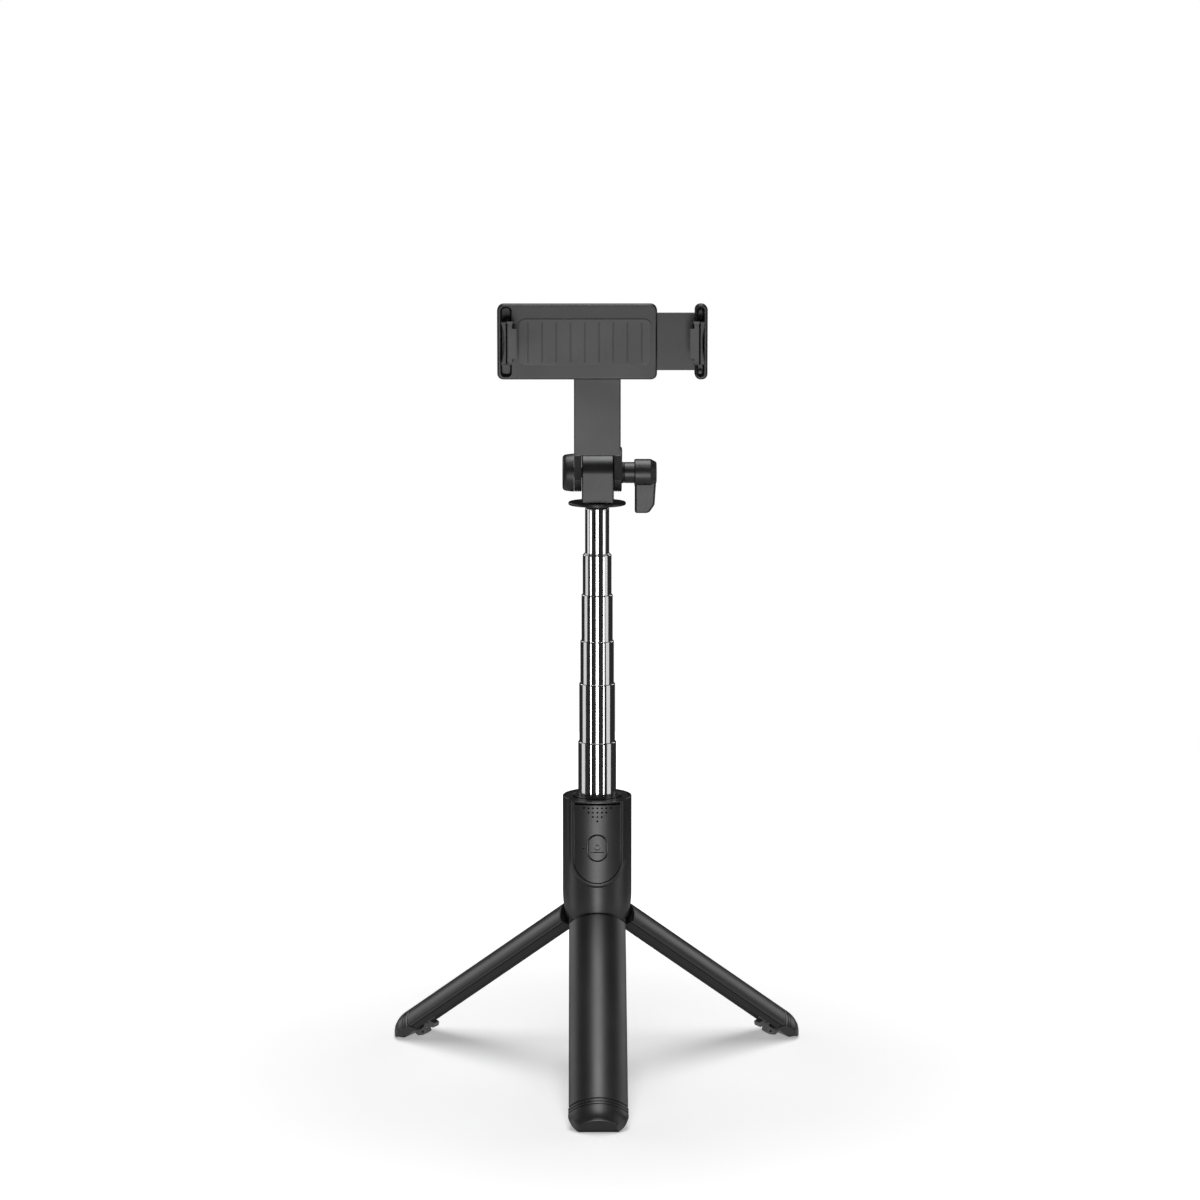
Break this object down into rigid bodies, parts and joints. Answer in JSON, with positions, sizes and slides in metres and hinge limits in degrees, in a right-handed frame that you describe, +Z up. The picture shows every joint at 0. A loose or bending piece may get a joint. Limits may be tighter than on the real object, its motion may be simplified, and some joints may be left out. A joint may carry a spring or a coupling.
{
  "type": "selfie stick",
  "caption": "Extendable selfie stick that stands on its folding handle legs, with a telescopic steel pole, tilting spring phone clamp and a clip-in remote.",
  "frame": {"origin": "on the ground, in the middle of the rectangle that the standing stick covers; the pole's axis is at x = 0, y = 20.5 mm", "axes": "+Z up along the pole, -Y to the front where the phone's screen faces, +X to the right as seen from the front"},
  "size_m": [0.1724, 0.1529, 0.3152],
  "materials": {
    "satin_black": "satin, very fine moulded grain",
    "matt_black": "matt moulded",
    "grey_plastic": "satin dark grey",
    "black_rubber": "matt, soft sheen",
    "grey_rubber": "matt silicone",
    "polished_steel": "polished, drawn along its length",
    "plated_steel": "zinc plated",
    "nylon": "natural nylon",
    "board_green": "green solder mask"
  },
  "bodies": {
    "hub": {"hub_housing": "satin_black", "hub_top_cap": "matt_black", "guide_sleeve": "matt_black", "leg_bracket": "matt_black", "hinge_pin_front": "plated_steel", "hinge_pin_right": "plated_steel", "hinge_pin_left": "plated_steel"},
    "leg_front": {"leg_shell_front": "satin_black", "leg_liner_front": "matt_black", "leg_foot_front": "black_rubber", "leg_clip_front": "grey_plastic"},
    "leg_right": {"leg_shell_right": "satin_black", "leg_liner_right": "matt_black", "leg_foot_right": "black_rubber", "leg_clip_right": "grey_plastic"},
    "leg_left": {"leg_shell_left": "satin_black", "leg_liner_left": "matt_black", "leg_foot_left": "black_rubber", "leg_clip_left": "grey_plastic"},
    "pole_7": {"tube_7": "polished_steel", "tube_bush_7": "nylon"},
    "pole_6": {"tube_6": "polished_steel", "tube_bush_6": "nylon"},
    "pole_5": {"tube_5": "polished_steel", "tube_bush_5": "nylon"},
    "pole_4": {"tube_4": "polished_steel", "tube_bush_4": "nylon"},
    "pole_3": {"tube_3": "polished_steel", "tube_bush_3": "nylon"},
    "pole_2": {"tube_2": "polished_steel", "tube_bush_2": "nylon"},
    "head": {"tube_1": "polished_steel", "tube_bush_1": "nylon", "tube_collar": "matt_black", "head_disc": "satin_black", "head_post": "satin_black", "friction_washer_left": "nylon", "friction_washer_right": "nylon"},
    "yoke": {"tilt_yoke": "satin_black", "nut_cap": "satin_black", "tilt_nut": "plated_steel"},
    "knob": {"tilt_bolt": "plated_steel", "knob_washer": "matt_black", "tilt_knob": "satin_black"},
    "clamp": {"swivel_screw": "plated_steel", "swivel_washer": "nylon", "clamp_rear": "satin_black", "clamp_cover": "satin_black", "clamp_back_pad": "grey_rubber", "fixed_jaw_pad": "grey_rubber", "jaw_spring_upper": "plated_steel", "jaw_spring_lower": "plated_steel"},
    "jaw": {"moving_jaw": "satin_black", "moving_jaw_pad": "grey_rubber"},
    "remote": {"remote_front": "satin_black", "remote_back": "matt_black", "remote_board": "board_green", "remote_cell": "plated_steel"},
    "button": {"remote_button": "satin_black"}
  },
  "joints": [
    {"name": "leg_front_fold", "type": "hinge", "parent": "hub", "child": "leg_front", "pos_m": [0, 0.0101, 0.0656], "axis": [-1, 0, 0], "range_deg": [-54, 0]},
    {"name": "leg_right_fold", "type": "hinge", "parent": "hub", "child": "leg_right", "pos_m": [0.00901, 0.0257, 0.0656], "axis": [0.5, -0.866, 0], "range_deg": [-54, 0]},
    {"name": "leg_left_fold", "type": "hinge", "parent": "hub", "child": "leg_left", "pos_m": [-0.00901, 0.0257, 0.0656], "axis": [0.5, 0.866, 0], "range_deg": [-54, 0]},
    {"name": "tube_7_slide", "type": "slide", "parent": "hub", "child": "pole_7", "axis": [0, 0, 1], "range_m": [-0.0209, 0.0457]},
    {"name": "tube_6_slide", "type": "slide", "parent": "pole_7", "child": "pole_6", "axis": [0, 0, 1], "range_m": [-0.0235, 0.0575]},
    {"name": "tube_5_slide", "type": "slide", "parent": "pole_6", "child": "pole_5", "axis": [0, 0, 1], "range_m": [-0.0171, 0.0614]},
    {"name": "tube_4_slide", "type": "slide", "parent": "pole_5", "child": "pole_4", "axis": [0, 0, 1], "range_m": [-0.0184, 0.0576]},
    {"name": "tube_3_slide", "type": "slide", "parent": "pole_4", "child": "pole_3", "axis": [0, 0, 1], "range_m": [-0.0159, 0.0576]},
    {"name": "tube_2_slide", "type": "slide", "parent": "pole_3", "child": "pole_2", "axis": [0, 0, 1], "range_m": [0, 0.071]},
    {"name": "tube_1_slide", "type": "slide", "parent": "pole_2", "child": "head", "axis": [0, 0, 1], "range_m": [-0.0179, 0.0506]},
    {"name": "head_tilt", "type": "hinge", "parent": "head", "child": "yoke", "pos_m": [0, 0.0205, 0.246], "axis": [1, 0, 0], "range_deg": [-180, 70]},
    {"name": "knob_turn", "type": "hinge", "parent": "yoke", "child": "knob", "pos_m": [0.012, 0.0205, 0.246], "axis": [1, 0, 0], "range_deg": [0, 270]},
    {"name": "clamp_swivel", "type": "hinge", "parent": "yoke", "child": "clamp", "pos_m": [0, 0.0025, 0.3004], "axis": [0, -1, 0], "continuous": true},
    {"name": "jaw_slide", "type": "slide", "parent": "clamp", "child": "jaw", "axis": [1, 0, 0], "range_m": [-0.014, 0.014], "stiffness_N_per_m": 120, "springref_m": -0.014, "deforming": ["jaw_spring_upper", "jaw_spring_lower"]},
    {"name": "remote_pull", "type": "slide", "parent": "hub", "child": "remote", "axis": [0, -1, 0], "range_m": [0, 0.03]},
    {"name": "shutter_press", "type": "slide", "parent": "remote", "child": "button", "axis": [0, 1, 0], "range_m": [0, 0.0004], "stiffness_N_per_m": 800}
  ]
}
